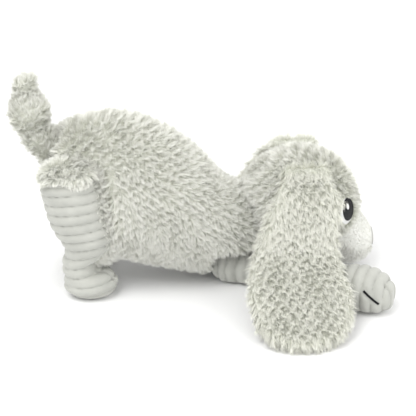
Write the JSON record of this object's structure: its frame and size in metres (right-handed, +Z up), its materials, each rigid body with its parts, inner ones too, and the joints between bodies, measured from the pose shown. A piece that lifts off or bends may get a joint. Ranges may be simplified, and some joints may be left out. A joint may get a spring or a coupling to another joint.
{
  "type": "stuffed toy dog",
  "caption": "Long-eared plush puppy in a play bow: fur body, head, ears and tail on ribbed plush legs, with embroidered eyes.",
  "frame": {"origin": "on the floor, below the middle of the overall length, in the middle plane", "axes": "+X forward to the nose, +Y to the puppy's left, +Z up"},
  "size_m": [0.3638, 0.3438, 0.2165],
  "materials": {
    "body_fur": "wavy faux fur, pale sage grey",
    "ear_fur": "long combed faux fur",
    "ribbed_plush": "short plush in wide rounded ribs",
    "sole_plush": "short plush",
    "white_plush": "short white plush",
    "white_fleece": "fuzzy white fleece",
    "nose_thread": "satin-stitched thread",
    "white_thread": "satin-stitched thread",
    "black_thread": "satin-stitched thread",
    "stuffing": "polyester fibre"
  },
  "bodies": {
    "body": {"body_skin": "body_fur", "body_stuffing": "stuffing", "foreleg_skin_right": "ribbed_plush", "foreleg_stuffing_right": "stuffing", "toe_line_right": "black_thread", "foreleg_skin_left": "ribbed_plush", "foreleg_stuffing_left": "stuffing", "toe_line_left": "black_thread"},
    "head": {"head_skin": "body_fur", "head_stuffing": "stuffing", "muzzle_panel": "white_plush", "flew_panel": "white_fleece", "nose_patch": "nose_thread", "eye_rim_right": "white_thread", "eye_rim_left": "white_thread", "eye_pupil_right": "black_thread", "eye_pupil_left": "black_thread", "eye_glint_right": "white_thread", "eye_glint_left": "white_thread"},
    "tail": {"tail_skin": "body_fur", "tail_stuffing": "stuffing"},
    "ear_right": {"ear_fur_right": "ear_fur", "ear_lining_right": "ear_fur"},
    "hind_leg_right": {"hind_leg_skin_right": "ribbed_plush", "hind_leg_stuffing_right": "stuffing", "hind_paw_sole_right": "sole_plush"},
    "ear_left": {"ear_fur_left": "ear_fur", "ear_lining_left": "ear_fur"},
    "hind_leg_left": {"hind_leg_skin_left": "ribbed_plush", "hind_leg_stuffing_left": "stuffing", "hind_paw_sole_left": "sole_plush"}
  },
  "joints": [
    {"name": "head_nod", "type": "hinge", "parent": "body", "child": "head", "pos_m": [0.03784, 0, 0.048], "axis": [0, -1, 0], "range_deg": [0, 5], "stiffness_Nm_per_rad": 0.2},
    {"name": "tail_wag", "type": "hinge", "parent": "body", "child": "tail", "pos_m": [-0.14416, 0, 0.141], "axis": [0.9648, 0, 0.263], "range_deg": [-25, 25], "stiffness_Nm_per_rad": 0.1},
    {"name": "ear_lift_right", "type": "hinge", "parent": "head", "child": "ear_right", "pos_m": [0.10084, -0.03972, 0.12571], "axis": [-1, 0, 0], "range_deg": [0, 100]},
    {"name": "hind_leg_splay_right", "type": "hinge", "parent": "body", "child": "hind_leg_right", "pos_m": [-0.11916, -0.057, 0.139], "axis": [-1, 0, 0], "range_deg": [0, 20], "stiffness_Nm_per_rad": 0.4},
    {"name": "ear_lift_left", "type": "hinge", "parent": "head", "child": "ear_left", "pos_m": [0.10084, 0.03972, 0.12571], "axis": [1, 0, 0], "range_deg": [0, 100]},
    {"name": "hind_leg_splay_left", "type": "hinge", "parent": "body", "child": "hind_leg_left", "pos_m": [-0.11916, 0.057, 0.139], "axis": [1, 0, 0], "range_deg": [0, 20], "stiffness_Nm_per_rad": 0.4}
  ]
}
